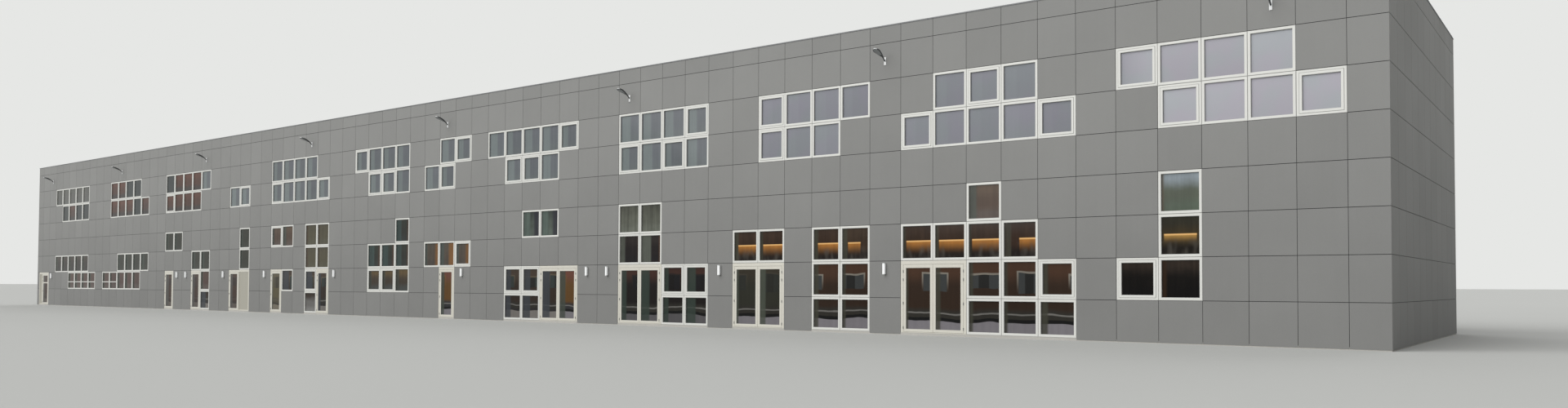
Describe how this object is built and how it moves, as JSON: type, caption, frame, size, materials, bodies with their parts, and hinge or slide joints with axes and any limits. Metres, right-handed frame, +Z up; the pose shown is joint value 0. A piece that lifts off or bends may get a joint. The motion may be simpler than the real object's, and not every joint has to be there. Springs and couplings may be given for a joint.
{
  "type": "one-tenth scale model of a school building",
  "caption": "Long two-storey flat-roofed school building with square grey panels, staggered windows and glazed ground-floor doors that open, as a scale model.",
  "frame": {"origin": "middle of the flat underside, on the ground", "axes": "+X along the front towards the end with door unit a, +Y from the front to the back, +Z up"},
  "size_m": [9.328, 1.4458, 1.0625],
  "materials": {
    "concrete": "matte",
    "wall_core": "matte",
    "roofing": "matte",
    "cladding": "satin",
    "coping_metal": "satin",
    "frames": "satin",
    "side_panels": "satin",
    "window_glass": "clear",
    "wall_lights": "satin",
    "floodlights": "satin"
  },
  "bodies": {
    "root": {"ground_floor_slab": "concrete", "first_floor_slab": "concrete", "roof_slab": "concrete", "roof_covering": "roofing", "front_wall_piers": "wall_core", "front_wall_over_doors": "wall_core", "front_wall_upper": "wall_core", "back_wall": "wall_core", "left_wall": "wall_core", "right_wall": "wall_core", "coping": "coping_metal", "front_cladding": "cladding", "back_cladding": "cladding", "end_cladding": "cladding", "front_ground_windows": "frames", "front_upper_windows": "frames", "back_windows": "frames", "front_glass": "window_glass", "back_glass": "window_glass", "door_posts": "frames", "door_heads_and_thresholds": "frames", "door_side_panels": "side_panels", "wall_lights": "wall_lights", "floodlights": "floodlights"},
    "door_a_left": {"door_a_left_leaf": "frames", "door_a_left_glass": "window_glass"},
    "door_a_right": {"door_a_right_leaf": "frames", "door_a_right_glass": "window_glass"},
    "door_b_left": {"door_b_left_leaf": "frames", "door_b_left_glass": "window_glass"},
    "door_b_right": {"door_b_right_leaf": "frames", "door_b_right_glass": "window_glass"},
    "door_c_left": {"door_c_left_leaf": "frames", "door_c_left_glass": "window_glass"},
    "door_c_right": {"door_c_right_leaf": "frames", "door_c_right_glass": "window_glass"},
    "door_d_left": {"door_d_left_leaf": "frames", "door_d_left_glass": "window_glass"},
    "door_d_right": {"door_d_right_leaf": "frames", "door_d_right_glass": "window_glass"},
    "door_e": {"door_e_leaf": "frames", "door_e_glass": "window_glass"},
    "door_f": {"door_f_leaf": "frames", "door_f_glass": "window_glass"},
    "door_g": {"door_g_leaf": "frames", "door_g_glass": "window_glass"},
    "door_h": {"door_h_leaf": "frames", "door_h_glass": "window_glass"},
    "door_i": {"door_i_leaf": "frames", "door_i_glass": "window_glass"},
    "door_j": {"door_j_leaf": "frames", "door_j_glass": "window_glass"},
    "door_k": {"door_k_leaf": "frames", "door_k_glass": "window_glass"}
  },
  "joints": [
    {"name": "door_a_left_hinge", "type": "hinge", "parent": "root", "child": "door_a_left", "pos_m": [3.19825, -0.688, 0.124], "axis": [0, 0, -1], "range_deg": [0, 90]},
    {"name": "door_a_right_hinge", "type": "hinge", "parent": "root", "child": "door_a_right", "pos_m": [3.42675, -0.688, 0.124], "axis": [0, 0, 1], "range_deg": [0, 90]},
    {"name": "door_b_left_hinge", "type": "hinge", "parent": "root", "child": "door_b_left", "pos_m": [2.44825, -0.688, 0.124], "axis": [0, 0, -1], "range_deg": [0, 90]},
    {"name": "door_b_right_hinge", "type": "hinge", "parent": "root", "child": "door_b_right", "pos_m": [2.67675, -0.688, 0.124], "axis": [0, 0, 1], "range_deg": [0, 90]},
    {"name": "door_c_left_hinge", "type": "hinge", "parent": "root", "child": "door_c_left", "pos_m": [1.82325, -0.688, 0.124], "axis": [0, 0, -1], "range_deg": [0, 90]},
    {"name": "door_c_right_hinge", "type": "hinge", "parent": "root", "child": "door_c_right", "pos_m": [2.05175, -0.688, 0.124], "axis": [0, 0, 1], "range_deg": [0, 90]},
    {"name": "door_d_left_hinge", "type": "hinge", "parent": "root", "child": "door_d_left", "pos_m": [1.32325, -0.688, 0.124], "axis": [0, 0, -1], "range_deg": [0, 90]},
    {"name": "door_d_right_hinge", "type": "hinge", "parent": "root", "child": "door_d_right", "pos_m": [1.55175, -0.688, 0.124], "axis": [0, 0, 1], "range_deg": [0, 90]},
    {"name": "door_e_hinge", "type": "hinge", "parent": "root", "child": "door_e", "pos_m": [0.57325, -0.688, 0.124], "axis": [0, 0, -1], "range_deg": [0, 90]},
    {"name": "door_f_hinge", "type": "hinge", "parent": "root", "child": "door_f", "pos_m": [-0.55175, -0.688, 0.124], "axis": [0, 0, -1], "range_deg": [0, 90]},
    {"name": "door_g_hinge", "type": "hinge", "parent": "root", "child": "door_g", "pos_m": [-1.05175, -0.688, 0.124], "axis": [0, 0, -1], "range_deg": [0, 90]},
    {"name": "door_h_hinge", "type": "hinge", "parent": "root", "child": "door_h", "pos_m": [-1.55175, -0.688, 0.124], "axis": [0, 0, -1], "range_deg": [0, 90]},
    {"name": "door_i_hinge", "type": "hinge", "parent": "root", "child": "door_i", "pos_m": [-2.05175, -0.688, 0.124], "axis": [0, 0, -1], "range_deg": [0, 90]},
    {"name": "door_j_hinge", "type": "hinge", "parent": "root", "child": "door_j", "pos_m": [-2.42675, -0.688, 0.124], "axis": [0, 0, -1], "range_deg": [0, 90]},
    {"name": "door_k_hinge", "type": "hinge", "parent": "root", "child": "door_k", "pos_m": [-4.55175, -0.688, 0.124], "axis": [0, 0, -1], "range_deg": [0, 90]}
  ]
}
